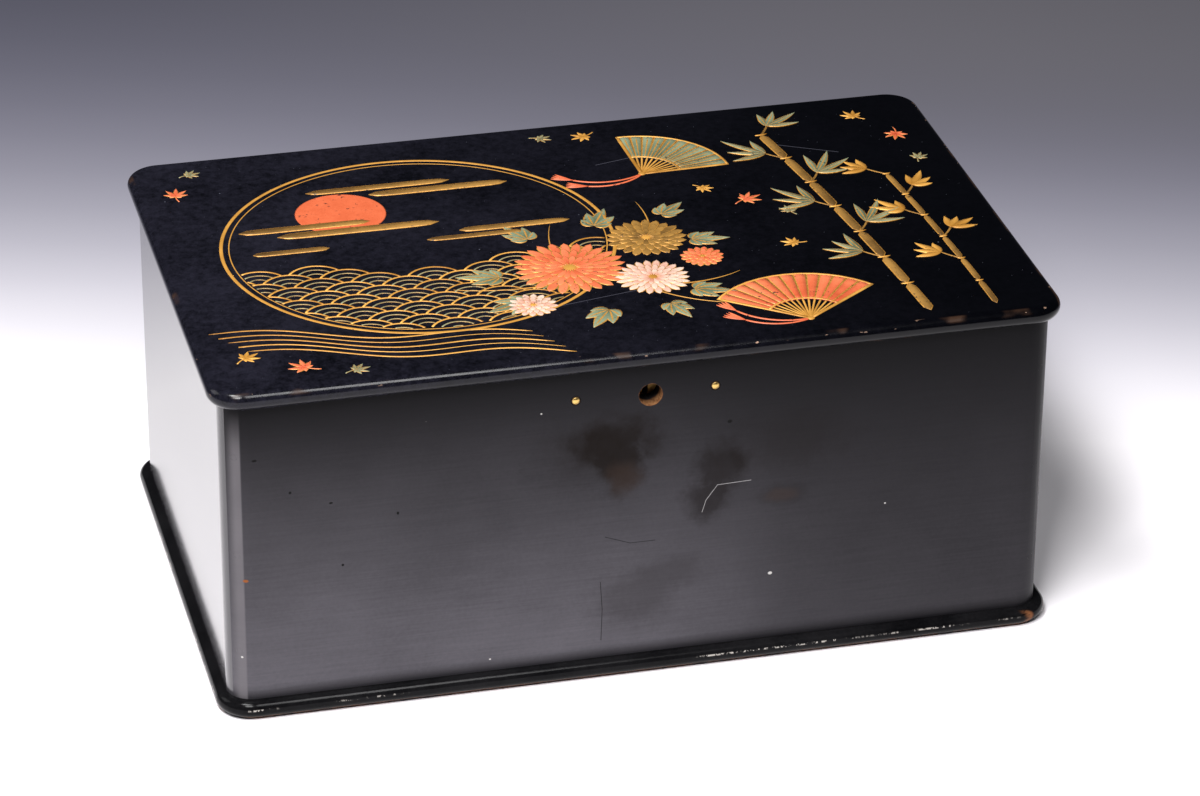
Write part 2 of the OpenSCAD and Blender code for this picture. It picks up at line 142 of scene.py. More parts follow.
class Finish:
    """One material, with the box's millimetres at hand as x, y and z."""

    def __init__(self, name):
        self.material = bpy.data.materials.new(name)
        self.material.use_nodes = True
        self.tree = self.material.node_tree
        self.tree.nodes.clear()
        place = self.node("TexCoord", {}, {}, "Object")
        self.place = self.node("VectorMath", {"operation": "SCALE"}, {0: place, "Scale": 1000.0})
        self.x, self.y, self.z = (
            self.node("SeparateXYZ", {}, {0: self.place}, axis) for axis in range(3))

    def node(self, kind, settings, sockets, out=0):
        made = self.tree.nodes.new("ShaderNode" + kind)
        for key, value in settings.items():
            if key == "stops":
                ramp = made.color_ramp.elements
                while len(ramp) < len(value):
                    ramp.new(1.0)
                for element, (position, colour) in zip(ramp, value):
                    element.position, element.color = position, (*colour, 1.0)
            else:
                setattr(made, key, value)
        for key, value in sockets.items():
            target = made.inputs[key]
            if isinstance(value, Field):
                self.tree.links.new(value.socket, target)
            elif target.type == "RGBA" and len(value) == 3:
                target.default_value = (*value, 1.0)
            else:
                target.default_value = value
        return Field(self, made.outputs[out])

    def noise(self, size_mm, detail=2.0, roughness=0.5, shift=0.0):
        """Noise about 0.5. size_mm is one grain's size, or its size along x, y and z."""
        sizes = size_mm if isinstance(size_mm, tuple) else (size_mm,) * 3
        grain = self.node("VectorMath", {"operation": "MULTIPLY_ADD"},
                          {0: self.place, 1: tuple(1 / s for s in sizes), 2: (shift, shift, shift)})
        return self.node("TexNoise", {}, {"Vector": grain, "Scale": 1.0, "Detail": detail,
                                          "Roughness": roughness})

    def specks(self, spacing_mm, radius_mm, share=1.0, shift=0.0):
        """Small round dots, one in each cell of a random mosaic, of which a share is kept."""
        grain = self.node("VectorMath", {"operation": "MULTIPLY_ADD"},
                          {0: self.place, 1: (1 / spacing_mm,) * 3, 2: (shift, shift, shift)})
        distance = self.node("TexVoronoi", {}, {"Vector": grain, "Scale": 1.0}, "Distance")
        colour = self.node("TexVoronoi", {}, {"Vector": grain, "Scale": 1.0}, "Color")
        pick = self.node("SeparateXYZ", {}, {0: colour}, 0)
        radius = radius_mm / spacing_mm
        return distance.fall(radius * 0.5, radius) * pick.fall(share - 0.02, share + 0.02)

    def colours(self, amount, first, second):
        """A blend of two colours, by a field or a number from 0 to 1."""
        return self.node("Mix", {"data_type": "RGBA"}, {0: amount, 6: first, 7: second}, 2)

    def bump(self, height, distance_mm, strength=1.0):
        return self.node("Bump", {}, {"Height": height, "Distance": distance_mm * MM,
                                      "Strength": strength})

    def surface(self, **sockets):
        values = {key.replace("_", " "): value for key, value in sockets.items()}
        return self.finish_with(self.node("BsdfPrincipled", {}, values))

    def finish_with(self, shader):
        output = self.tree.nodes.new("ShaderNodeOutputMaterial")
        self.tree.links.new(shader.socket, output.inputs[0])
        return self.material


print("finishes are written with Field and Finish")

# %% [markdown]
# ## Marks on a board
# Old lacquer is known by its marks: stains, dents, a stray fibre. Each is a mask that is 1 on the mark and 0
# off it. A spot is an ellipse whose outline a little noise makes ragged, and a scratch is the distance from a
# short line. Both take the two fields that run along the board's face.

# %% Spots and scratches
def spot(a, b, middle, radii, soft=0.3, ragged=None):
    """1 inside an ellipse on a face, falling to 0 over a soft rim."""
    across = (a - middle[0]) / radii[0]
    along = (b - middle[1]) / radii[1]
    reach = (across * across + along * along).power(0.5)
    if ragged is not None:
        reach = reach + ragged
    return reach.fall(1 - soft, 1 + soft)


def spots(a, b, places, soft=0.3, ragged=None):
    """The same for a list of (middle, radii)."""
    total = 0.0
    for middle, radii in places:
        total = spot(a, b, middle, radii, soft, ragged) + total
    return total.at_most(1.0)


def scratch(a, b, start, end, width_mm):
    """1 on a short straight line from start to end, 0 off it."""
    run = (end[0] - start[0], end[1] - start[1])
    length = run[0] ** 2 + run[1] ** 2
    da, db = a - start[0], b - start[1]
    share = ((da * run[0] + db * run[1]) / length).at_least(0.0).at_most(1.0)
    off_a, off_b = da - share * run[0], db - share * run[1]
    return (off_a * off_a + off_b * off_b).power(0.5).fall(width_mm * 0.35, width_mm * 0.65)


def scratches(a, b, points, width_mm):
    """A bent scratch through a row of points."""
    total = 0.0
    for start, end in zip(points, points[1:]):
        total = scratch(a, b, start, end, width_mm) + total
    return total.at_most(1.0)


# %% [markdown]
# ## Stage and light
# The box stands on a pale floor that fades into a dark room behind it, which is what makes the lid look
# black: a polished lid shows whatever stands behind it. Two soft lamps at the front left, one of them steep,
# make the short shadow on the right. A tall strip gives the fine bright line along the lid's rounded edge,
# and a weak lamp fills the left side. The floor itself lights the walls from below. Its fade is painted light:
# its colour darkens with depth as light falls off, over each further stretch losing about half of what is
# left, and it is painted a little lighter far behind on the right.

# %% Floor
FLOOR_HALF, FLOOR_DROP = 6, 0.0004


def make_floor():
    bm = bmesh.new()
    bmesh.ops.create_grid(bm, x_segments=1, y_segments=1, size=FLOOR_HALF)
    bmesh.ops.translate(bm, verts=bm.verts, vec=(0, 0, -FLOOR_DROP))
    mesh = bpy.data.meshes.new("floor")
    bm.to_mesh(mesh)
    bm.free()
    floor = bpy.data.objects.new("floor", mesh)
    scene.collection.objects.link(floor)
    return floor


NEAR_FLOOR, FAR_FLOOR = (0.95, 0.92, 0.95), (0.065, 0.065, 0.083)
FADE_START_MM, FADE_END_MM, FADE_STEP_MM = 110, 710, 40
HALVED_WITHIN_MM = (120, 120, 130)
FADE_BEND = 1.2
FADE_TILT = 0.33
FAR_RIGHT_PAINTED_LIGHT = (0.165, 0.158, 0.172)


def faded(depth_mm):
    """The floor's colour at a depth. The near colour halves again and again, blue a little later."""
    past = depth_mm - FADE_START_MM
    return [far + (near - far) * 0.5 ** ((past / half) ** FADE_BEND)
            for near, far, half in zip(NEAR_FLOOR, FAR_FLOOR, HALVED_WITHIN_MM)]


def paint_floor():
    """Painted light: pale in front, fading to grey behind the box, a little lighter behind on the right."""
    paint = Finish("pale_floor_painted_falloff")
    depth = paint.y + paint.x * FADE_TILT
    depths_mm = range(FADE_START_MM, FADE_END_MM + 1, FADE_STEP_MM)
    stops = [(mm / FADE_END_MM, faded(mm)) for mm in depths_mm]
    colour = paint.node("ValToRGB", {"stops": stops}, {0: depth / FADE_END_MM})
    # Painted light: the far floor on the right is painted a little lighter.
    far = paint.x.rise(-200.0, 330.0) * depth.rise(330.0, 560.0)
    colour = paint.colours(far * 0.6, colour, FAR_RIGHT_PAINTED_LIGHT)
    return paint.finish_with(paint.node("BsdfDiffuse", {}, {"Color": colour}))


floor = make_floor()
floor.data.materials.append(paint_floor())

# %% Lamps and room
LAMP_AIM = (0, 0, 0.05)
LAMPS = {"front_softbox": ((-0.55, -1.05, 1.45), (0.5, 0.5), 27),
         "top_softbox": ((-0.52, -0.38, 1.6), (0.5, 0.4), 23),
         "edge_strip": ((0.19, -1.05, 1.5), (0.24, 0.7), 9),
         "left_softbox": ((-1.5, 0.6, 1.1), (0.8, 0.8), 5)}
ROOM_GLOW = (0.020, 0.021, 0.027, 1)

for name, (place, size, watts) in LAMPS.items():
    data = bpy.data.lights.new(name, "AREA")
    data.shape, data.size, data.size_y = "RECTANGLE", size[0], size[1]
    data.energy = watts
    lamp = bpy.data.objects.new(name, data)
    scene.collection.objects.link(lamp)
    lamp.location = place
    lamp.rotation_euler = (Vector(LAMP_AIM) - Vector(place)).to_track_quat("-Z", "Y").to_euler()

world = bpy.data.worlds.new("dark_room")
world.use_nodes = True
room = world.node_tree.nodes["Background"]
room.inputs["Color"].default_value = ROOM_GLOW
room.inputs["Strength"].default_value = 1.0
scene.world = world
print("lamps:", list(LAMPS))

# %% [markdown]
# ## Black lacquer on the walls
# The walls are brushed with many thin coats over wood, so the black keeps fine brush lines and shows grey
# in patches where dull bloom lies on it. The grey is also painted light, lighter low down, where the bright
# floor lights the walls. The brush lines run along the front and the back and up and down the sides. All
# walls share one recipe. Each gets the direction of its brush, where its painted light lies and its own marks.

# %% Recipe for wall lacquer
WALL_FOOT_MM, WALL_RISE_MM = 7, 124
BRUSHED_ALONG, BRUSHED_UP = (26.0, 26.0, 0.9), (26.0, 1.0, 30.0)
STAIN = (0.006, 0.004, 0.003)
BLACK = (0.0035, 0.0033, 0.0040)
GREY_BLOOM_AND_LIGHT = (0.122, 0.115, 0.131)
DULL_INSIDE = (0.012, 0.010, 0.010)


def wall_lacquer(name, brush_mm, inside, mark, bloom_and_light, **gloss):
    """Lacquer with brush lines. inside is 1 on the face that looks into the box, bloom_and_light says how
    much grey of bloom and painted light lies where, and mark adds a wall's own marks."""
    lacquer = Finish(name)
    lines = lacquer.noise(brush_mm, 3.0, 0.6)
    clouds = lacquer.noise(55.0, 3.0, 0.55, 3.1)
    grain = lacquer.noise(1.6, 2.0, 0.6, 7.7)
    patchy = 0.62 + lines * 0.34 + (clouds - 0.5) * 0.7 + grain * 0.22
    # The grey is real bloom in patches, spread by painted light that is lighter low down.
    colour = lacquer.colours((bloom_and_light(lacquer) * patchy).at_most(1.0), BLACK, GREY_BLOOM_AND_LIGHT)
    dust = lacquer.specks(13.0, 0.2, 0.3, 1.7)
    colour = lacquer.colours(dust * 0.5, colour, (0.25, 0.24, 0.24))
    rough = 0.24 + lines * 0.12 + grain * 0.1
    height = lines * 0.6 + grain * 0.35 + lacquer.noise(14.0, 1.0, 0.5, 2.2) * 1.5
    colour, rough, height = mark(lacquer, colour, rough, height)
    hidden = inside(lacquer)
    colour = lacquer.colours(hidden, colour, DULL_INSIDE)
    rough = rough + hidden * 0.16
    return lacquer.surface(Base_Color=colour, Roughness=rough, Normal=lacquer.bump(height, 0.05, 0.8),
                           **{"Specular_IOR_Level": 0.07, **gloss})


def lowness(lacquer):
    """1 at the foot of a wall, 0 at its top."""
    return 1 - (lacquer.z - WALL_FOOT_MM) / WALL_RISE_MM


# %% [markdown]
# ## The front wall's own marks
# Something once stood wet against the front and left dull stains. The rest is what a century leaves: pits,
# shallow dents, a stray pale fibre, dark scratches and a few specks. The foot of the wall is darkened as
# painted shade where it meets the base, and a pale band on the rounded left corner is a painted highlight.
# The drilled keyhole lost its metal rim, so its wall shows raw wood, darker deeper in as painted shade.
# Each mark has its place in millimetres across and up the wall.

# %% Front wall
KEYHOLE_MM, KEYHOLE_RADIUS_MM = (1.9, 118.0), 4.55


def front_marks(lacquer, colour, rough, height):
    x, z = lacquer.x, lacquer.z
    # Painted shade: the wall is darkened at its foot, where it meets the base.
    foot = z.fall(7.0, 13.0) * 0.75
    colour = lacquer.colours(foot, colour, BLACK)
    ragged = lacquer.noise(11.0, 4.0, 0.65, 4.4) * 1.6 - 0.8
    stain = spots(x, z, [((-13, 100), (15, 9)), ((-9, 89), (8, 11)), ((24, 71), (8, 8)),
                         ((30, 84), (9, 10))], 0.5, ragged)
    light_stain = spots(x, z, [((11, 41), (13, 6)), ((53, 69), (8, 4)), ((-5, 30), (14, 12)),
                               ((58, 92), (20, 12)), ((-17, 96), (22, 12))], 0.7, ragged)
    mottled = 0.62 + lacquer.noise(5.0, 3.0, 0.6, 8.8) * 0.4
    colour = lacquer.colours((stain * mottled * 0.72 + light_stain * 0.3).at_most(1.0), colour, STAIN)
    brown = spots(x, z, [((-8, 84), (6, 6)), ((53, 69), (5, 2.5))], 0.6, ragged)
    colour = lacquer.colours(brown * 0.25, colour, (0.05, 0.030, 0.021))
    rough = rough + stain * 0.3
    pits = spots(x, z, [((32.7, 103.1), (0.9, 0.7)), ((-148.2, 108.7), (0.9, 0.5)),
                        ((-135.2, 93.7), (0.5, 0.5)), ((-120, 87.5), (0.7, 0.4)),
                        ((-94.8, 80), (0.5, 0.6)), ((-116, 60.6), (0.5, 0.5))])
    dents = spots(x, z, [((62.3, 120.8), (3, 1)), ((87.3, 111), (2.6, 1.2)), ((131.4, 115.9), (3.5, 1.6)),
                         ((70, 24), (4, 2))], 0.7)
    colour = lacquer.colours(pits, colour, (0.004, 0.004, 0.004))
    fibre = scratches(x, z, [(22.5, 65.4), (24, 70.4), (28.4, 76.4), (41.5, 76.8)], 0.24)
    hair = scratches(x, z, [(-15.3, 59.4), (-5.5, 55.6), (4.2, 55.6)], 0.3)
    drip = scratches(x, z, [(-17, 40), (-16.2, 28), (-16.6, 14.5)], 0.3)
    colour = lacquer.colours(fibre * 0.4, colour, (0.62, 0.60, 0.60))
    # Painted highlight along the rounded left corner.
    colour = painted_corner_highlight(lacquer, colour)
    colour = lacquer.colours((hair + drip).at_most(1.0) * 0.8, colour, (0.006, 0.006, 0.006))
    flecks = spots(x, z, [((49.9, 35.2), (0.8, 0.6)), ((-154.8, 25.2), (0.4, 0.4)), ((-60, 12), (0.4, 0.3)),
                          ((95, 60), (0.35, 0.3)), ((-40, 115), (0.35, 0.3))])
    colour = lacquer.colours(flecks, colour, (0.5, 0.48, 0.46))
    rust = spot(x, z, (-152.7, 58.2), (1.0, 0.6))
    colour = lacquer.colours(rust, colour, (0.22, 0.07, 0.02))
    height = height - pits * 2.5 - dents * 2.0
    return keyhole_wood(lacquer, colour, rough, height)


def painted_corner_highlight(lacquer, colour):
    """Painted highlight: a pale band on the rounded left corner, soft on its left, sharp at its right end."""
    cloudy = 0.45 + lacquer.noise(24.0, 2.0, 0.5, 1.0) * 0.6
    highlight_band = lacquer.x.rise(-158.8, -155.2) * lacquer.x.fall(-153.7, -152.9) * lacquer.z.fall(108.0, 132.0)
    return lacquer.colours((highlight_band * cloudy * 0.85).at_most(1.0), colour, (0.15, 0.14, 0.15))


def keyhole_wood(lacquer, colour, rough, height):
    """Raw wood on the wall of the drilled hole, and a chipped lip where the lacquer broke away."""
    ragged = lacquer.noise(1.3, 2.0, 0.6, 9.2) * 1.1 - 0.4
    dx, dz = lacquer.x - KEYHOLE_MM[0], lacquer.z - KEYHOLE_MM[1]
    reach = (dx * dx + dz * dz).power(0.5)
    bore = reach.fall(KEYHOLE_RADIUS_MM - 0.02, KEYHOLE_RADIUS_MM + 0.06)
    lip = (reach + ragged).fall(KEYHOLE_RADIUS_MM + 0.1, KEYHOLE_RADIUS_MM + 0.35)
    fibres = lacquer.noise((2.0, 2.0, 0.35), 3.0, 0.6, 5.0)
    wood = lacquer.colours(fibres.rise(0.3, 0.7), (0.13, 0.050, 0.02), (0.33, 0.165, 0.07))
    # Painted shade: the wood is darkened deeper into the bore.
    depth = lacquer.y.fall(-98.6, -92.0)
    wood = lacquer.colours(1 - depth, wood, (0.03, 0.012, 0.006))
    colour = lacquer.colours(lip, colour, (0.09, 0.035, 0.016))
    colour = lacquer.colours(bore, colour, wood)
    return colour, rough + bore * 0.4 + lip * 0.2, height - lip * 1.2


def inside_front(lacquer):
    return lacquer.y.rise(-94.2, -93.9) * lacquer.x.absolute().fall(150.9, 151.1)


def front_bloom_and_light(lacquer):
    """Painted light: more grey low down and to the left, as the floor and the lamps light the front."""
    low = (lowness(lacquer) * 0.80 - 0.01).at_least(0.0)
    return low * (1 - lacquer.x.rise(-30.0, 90.0) * 0.62)


front_lacquer = wall_lacquer("front_wall_lacquer", BRUSHED_ALONG, inside_front, front_marks, front_bloom_and_light)
print("front wall:", len(front_lacquer.node_tree.nodes), "nodes")

# %% [markdown]
# ## The other walls
# The left wall has a clear coat over its black. A coat mirrors little of what is straight before it and
# nearly all of what it is seen along, so at a low angle the wall turns pale with the floor. The right wall and
# the back have the same recipe without it and without marks. The corner pegs were lacquered over together
# with the walls, so their ends take the tone of the wall that they come out of.

# %% Side walls and back
def plain_marks(lacquer, colour, rough, height):
    return colour, rough, height


def inside_back(lacquer):
    return lacquer.y.fall(93.9, 94.2) * lacquer.x.absolute().fall(150.9, 151.1)


def inside_side(lacquer):
    return lacquer.x.absolute().fall(151.1, 151.3) * lacquer.y.absolute().fall(94.4, 94.6)


# Painted light: the plain walls are greyer low down, where the bright floor lights them.
def plain_bloom_and_light(lacquer):
    return lowness(lacquer) * 0.30 + 0.06


left_lacquer = wall_lacquer("left_wall_lacquer", BRUSHED_UP, inside_side, plain_marks, plain_bloom_and_light,
                            Coat_Weight=1.0, Coat_IOR=1.55, Coat_Roughness=0.12)
right_lacquer = wall_lacquer("right_wall_lacquer", BRUSHED_UP, inside_side, plain_marks, plain_bloom_and_light)
back_lacquer = wall_lacquer("back_wall_lacquer", BRUSHED_ALONG, inside_back, plain_marks, plain_bloom_and_light)


def front_half(lacquer):
    return lacquer.y.fall(-1.0, 1.0)


def peg_end_marks(lacquer, colour, rough, height):
    # The front pegs' ends carry the corner's painted highlight.
    rub_and_highlight = painted_corner_highlight(lacquer, colour)
    return lacquer.colours(front_half(lacquer), colour, rub_and_highlight), rough, height


def in_the_wood(lacquer):
    return lacquer.y.absolute().fall(94.2, 94.8)


def peg_bloom_and_light(lacquer):
    # The pegs' ends take the painted light of the wall that they come out of.
    at_front = front_half(lacquer)
    return front_bloom_and_light(lacquer) * at_front + plain_bloom_and_light(lacquer) * (1 - at_front)


peg_end_lacquer = wall_lacquer("peg_end_lacquer", BRUSHED_ALONG, in_the_wood, peg_end_marks, peg_bloom_and_light)
print("wall lacquers: front, back, left, right and peg ends")

# %% [markdown]
# ## Lid and base lacquer
# The lid was polished, so it is smoother and blacker than the walls, with a touch of blue haze, which is
# lighter towards the left as painted light. Its half-round edge is where hands rub: the lacquer is chipped
# along the upper side. The base board has a painted highlight along the middle of its edge, broken into
# pale dashes by wear, and brown wear below. How far a point stands out towards the edge is the larger of
# its distances past the flat part, so one mask serves all four sides.

# %% Edge wear
LID_HALF_MM, LID_EDGE_MM = (164.0, 103.0), 3.7
LID_MIDDLE_MM, LID_TOP_MM = 134.5, 138.2
BASE_HALF_MM, BASE_EDGE_MM = (164.2, 103.2), 3.5
BASE_MIDDLE_MM = 3.5


def edge_reach(lacquer, half_mm, edge_mm):
    """How far a point lies past a board's flat part on the way out over its half-round edge, in mm."""
    flat_x, flat_y = (half - edge_mm for half in half_mm)
    return (lacquer.x.absolute() - flat_x).at_least(lacquer.y.absolute() - flat_y)


def lid_lacquer():
    lacquer = Finish("lid_lacquer")
    out = edge_reach(lacquer, LID_HALF_MM, LID_EDGE_MM)
    clouds = lacquer.noise(38.0, 4.0, 0.6, 1.0)
    haze = lacquer.noise(3.2, 3.0, 0.65, 5.5)
    fine = lacquer.noise(0.7, 2.0, 0.6, 8.0)
    # Painted light: the blue haze is made lighter towards the left.
    painted_light_leftward = lacquer.x.fall(-150.0, 150.0)
    haze_and_painted_light = (clouds * 0.5 + haze * 0.55 + fine * 0.3 - 0.15).rise(0.2, 0.85) * (painted_light_leftward * 0.94 + 0.06)
    colour = lacquer.colours(haze_and_painted_light, (0.0004, 0.0005, 0.0009), (0.0145, 0.0140, 0.0225))
    dust = lacquer.specks(2.6, 0.16, 0.30, 2.0) + lacquer.specks(11.0, 0.35, 0.35, 6.0)
    top = lacquer.z.rise(LID_TOP_MM - 0.3, LID_TOP_MM - 0.1)
    colour = lacquer.colours((dust * top * 0.55).at_most(1.0), colour, (0.16, 0.17, 0.22))
    scuffs = 0.0
    for start, end, width in (((20, 60), (44, 66), 0.25), ((-30, -60), (10, -52), 0.22),
                              ((96, 62), (118, 50), 0.25)):
        scuffs = scratch(lacquer.x, lacquer.y, start, end, width) + scuffs
    scuffs = scuffs.at_most(1.0)
    colour = lacquer.colours(scuffs * top * 0.5, colour, (0.14, 0.14, 0.18))
    below = lacquer.z.fall(LID_MIDDLE_MM - 3.6, LID_MIDDLE_MM - 3.3)
    chip_noise = lacquer.noise((5.0, 5.0, 1.6), 3.0, 0.65, 3.3)
    ridge = out.rise(0.9, 1.8) * out.fall(2.9, 3.5) * lacquer.z.rise(LID_MIDDLE_MM, LID_MIDDLE_MM + 1.0)
    rightward = 0.035 * lacquer.x.rise(20.0, 90.0)
    chips = ridge * (chip_noise + rightward).rise(0.69, 0.71)
    rub = ridge * (lacquer.noise(16.0, 2.0, 0.5, 6.1) + rightward).rise(0.60, 0.70)
    colour = lacquer.colours(rub * 0.45, colour, (0.07, 0.035, 0.02))
    colour = lacquer.colours(chips, colour, (0.32, 0.20, 0.14))
    lower_edge = out.rise(0.5, 1.5) * lacquer.z.fall(LID_MIDDLE_MM - 2.6, LID_MIDDLE_MM - 1.6)
    scraped = lacquer.noise((17.0, 17.0, 3.0), 4.0, 0.7, 5.2).rise(0.60, 0.70)
    colour = lacquer.colours(lower_edge * scraped * 0.6, colour, (0.10, 0.045, 0.022))
    colour = lacquer.colours(below, colour, DULL_INSIDE)
    rough = 0.10 + haze * 0.08 + haze_and_painted_light * 0.06 + chips * 0.4 + rub * 0.15 + below * 0.28
    height = haze * 0.35 + clouds * 1.2 - chips * 3.0 - scuffs * 0.5
    return lacquer.surface(Base_Color=colour, Roughness=rough, Normal=lacquer.bump(height, 0.03, 0.6),
                           Specular_IOR_Level=0.22)


def base_lacquer():
    lacquer = Finish("base_lacquer")
    out = edge_reach(lacquer, BASE_HALF_MM, BASE_EDGE_MM)
    clouds = lacquer.noise(30.0, 3.0, 0.6, 2.0)
    fine = lacquer.noise(1.2, 2.0, 0.6, 6.0)
    colour = lacquer.colours((clouds * 0.7 + fine * 0.3).rise(0.3, 0.7), (0.002, 0.002, 0.0024),
                             (0.008, 0.0077, 0.0085))
    worn = lacquer.noise((7.0, 7.0, 2.0), 4.0, 0.7, 9.0)
    # Painted highlight: a pale line along the middle of the edge, broken into dashes by wear.
    painted_highlight_line = out.rise(2.6, 3.2) * (lacquer.z - BASE_MIDDLE_MM - 0.7).absolute().fall(0.1, 0.5)
    stretches = lacquer.noise(60.0, 2.0, 0.5, 12.0).rise(0.50, 0.58)
    dashes = lacquer.noise((1.6, 1.6, 3.0), 2.0, 0.7, 4.0).rise(0.50, 0.58)
    colour = lacquer.colours(painted_highlight_line * stretches * dashes * 0.8, colour, (0.50, 0.46, 0.42))
    under = out.rise(0.4, 1.6) * lacquer.z.fall(0.6, 1.7)
    colour = lacquer.colours(under * worn.rise(0.40, 0.52), colour, (0.13, 0.055, 0.025))
    corner = spot(lacquer.x, lacquer.y, (158.0, -98.5), (7.0, 5.0), 0.3, worn - 0.5)
    bare = corner * out.rise(1.5, 2.5) * worn.rise(0.35, 0.5)
    colour = lacquer.colours(bare, colour, (0.22, 0.085, 0.035))
    dust = lacquer.specks(6.0, 0.2, 0.25, 3.0) * lacquer.z.rise(5.5, 6.8)
    colour = lacquer.colours(dust * 0.4, colour, (0.35, 0.33, 0.32))
    rough = 0.10 + fine * 0.08 + under * 0.2 + bare * 0.35
    height = fine * 0.4 + clouds * 1.0 - bare * 2.0 - worn * under * 1.5
    return lacquer.surface(Base_Color=colour, Roughness=rough, Normal=lacquer.bump(height, 0.05, 0.7),
                           Specular_IOR_Level=0.08)


# %% [markdown]
# ## Brass, steel and bare wood
# The hinges and the lock's plates are old brass: yellow where it is touched and brown where it isn't. The
# moving parts of the lock are filed steel with a little rust. The base board's pegs are plain wood, blackened
# where they come out through the lacquer. The two pins beside the keyhole have heads of brighter brass.

# %% Metal and wood
PIN_MM, PIN_HEAD_MM = (26.85, 118.9), 1.6


def old_brass(name, bright):
    brass = Finish(name)
    cloud = brass.noise(2.6, 4.0, 0.65, 1.5)
    file_lines = brass.noise((0.35, 2.5, 2.5), 2.0, 0.6, 4.0)
    tarnish = cloud * 0.7 + brass.noise(16.0, 2.0, 0.5, 7.0) * 0.5 + file_lines * 0.2 - 0.2
    tarnish = tarnish.rise(bright - 0.25, bright + 0.35) * 0.8
    colour = brass.colours(tarnish, (0.56, 0.37, 0.13), (0.17, 0.095, 0.036))
    rough = 0.28 + tarnish * 0.3 + file_lines * 0.08
    return brass.surface(Base_Color=colour, Metallic=1 - tarnish * 0.35, Roughness=rough,
                         Normal=brass.bump(file_lines * 0.5 + cloud, 0.02, 0.5))


def filed_steel():
    steel = Finish("lock_steel_filed")
    cloud = steel.noise(2.2, 4.0, 0.65, 2.5)
    file_lines = steel.noise((0.3, 3.0, 3.0), 2.0, 0.6, 6.0)
    rust = cloud.rise(0.58, 0.72)
    colour = steel.colours(file_lines, (0.30, 0.29, 0.28), (0.17, 0.165, 0.16))
    colour = steel.colours(rust, colour, (0.12, 0.045, 0.018))
    return steel.surface(Base_Color=colour, Metallic=1 - rust * 0.8, Roughness=0.3 + rust * 0.4,
                         Normal=steel.bump(file_lines, 0.02, 0.5))


def peg_wood():
    wood = Finish("peg_wood")
    fibres = wood.noise((0.4, 4.0, 4.0), 3.0, 0.6, 1.0)
    colour = wood.colours(fibres, (0.30, 0.17, 0.08), (0.16, 0.08, 0.035))
    outer = wood.y.absolute().rise(93.0, 93.4).at_least(wood.z.fall(0.4, 0.8))
    colour = wood.colours(outer, colour, (0.020, 0.019, 0.021))
    return wood.surface(Base_Color=colour, Roughness=0.7 - outer * 0.38)


def domed_brass():
    """Light falls on the pins' heads as on shallow domes, with painted shade in a dark ring at the rim."""
    brass = Finish("lock_pin_brass")
    dx, dz = brass.x.absolute() - PIN_MM[0], brass.z - PIN_MM[1]
    reach = (dx * dx + dz * dz).power(0.5)
    # Painted shade: a dark ring at each head's rim, where a dome turns away from the light.
    ring = reach.rise(1.15, 1.5)
    colour = brass.colours(ring, (0.70, 0.47, 0.15), (0.10, 0.055, 0.02))
    dome = 1 - (reach / PIN_HEAD_MM).power(2.0)
    return brass.surface(Base_Color=colour, Metallic=1 - ring * 0.5, Roughness=0.3 + ring * 0.3,
                         Normal=brass.bump(dome, 0.7, 1.0))


hinge_brass = old_brass("hinge_brass", 0.62)
lock_brass = old_brass("lock_brass", 0.60)
pin_brass = domed_brass()
steel = filed_steel()
wood = peg_wood()
print("finishes:", len(bpy.data.materials))

# %% [markdown]
# ## Dressing the boards
# The solids' meshes are loose triangles, so light breaks at each one of a rounded edge. A copy of each board
# is merged, its flat triangles are dissolved into whole faces, and all but its sharp edges are shaded smooth.
# Weighted normals then let the large flat faces keep their own direction, so a flat stays flat right up to
# the start of a curve.

# %% Boards
SHARP_DEGREES, FLAT_DEGREES = 32, 0.05
MERGE_WITHIN = 2e-6


def smooth_board(node, name, finish):
    bm = bmesh.new()
    bm.from_mesh(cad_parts[node].data)
    bmesh.ops.remove_doubles(bm, verts=bm.verts, dist=MERGE_WITHIN)
    bmesh.ops.dissolve_limit(bm, angle_limit=radians(FLAT_DEGREES), verts=bm.verts, edges=bm.edges)
    for face in bm.faces:
        face.smooth = True
    for edge in bm.edges:
        edge.smooth = edge.calc_face_angle(pi) < radians(SHARP_DEGREES)
    mesh = bpy.data.meshes.new(name)
    bm.to_mesh(mesh)
    bm.free()
    board = bpy.data.objects.new(name, mesh)
    scene.collection.objects.link(board)
    mesh.materials.append(finish)
    flat = board.modifiers.new("flat faces lead", "WEIGHTED_NORMAL")
    flat.weight, flat.keep_sharp = 100, True
    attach(board, "lid" if node == "lid_board" else "case")
    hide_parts(node)
    return board


for node, finish in {"base_board": base_lacquer(), "lid_board": lid_lacquer(),
                     "front_wall": front_lacquer, "back_wall": back_lacquer,
                     "left_wall": left_lacquer, "right_wall": right_lacquer}.items():
    board = smooth_board(node, node + "_lacquered", finish)
    print(board.name, "faces:", len(board.data.polygons))

# %% Metal and pegs
for node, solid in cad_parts.items():
    if node == "corner_pegs":
        finish = peg_end_lacquer
    elif node == "base_pegs":
        finish = wood
    elif node in ("lock_left_pin", "lock_right_pin"):
        finish = pin_brass
    elif node in ("lock_studs", "lock_key_post", "lock_spring", "lock_bolt",
                  "left_bolt_hook", "right_bolt_hook"):
        finish = steel
    elif "hinge" in node:
        finish = hinge_brass
    else:
        finish = lock_brass
    for material_slot in solid.material_slots:
        material_slot.material = finish
print("pegs, hinges and lock keep their solids' shapes")

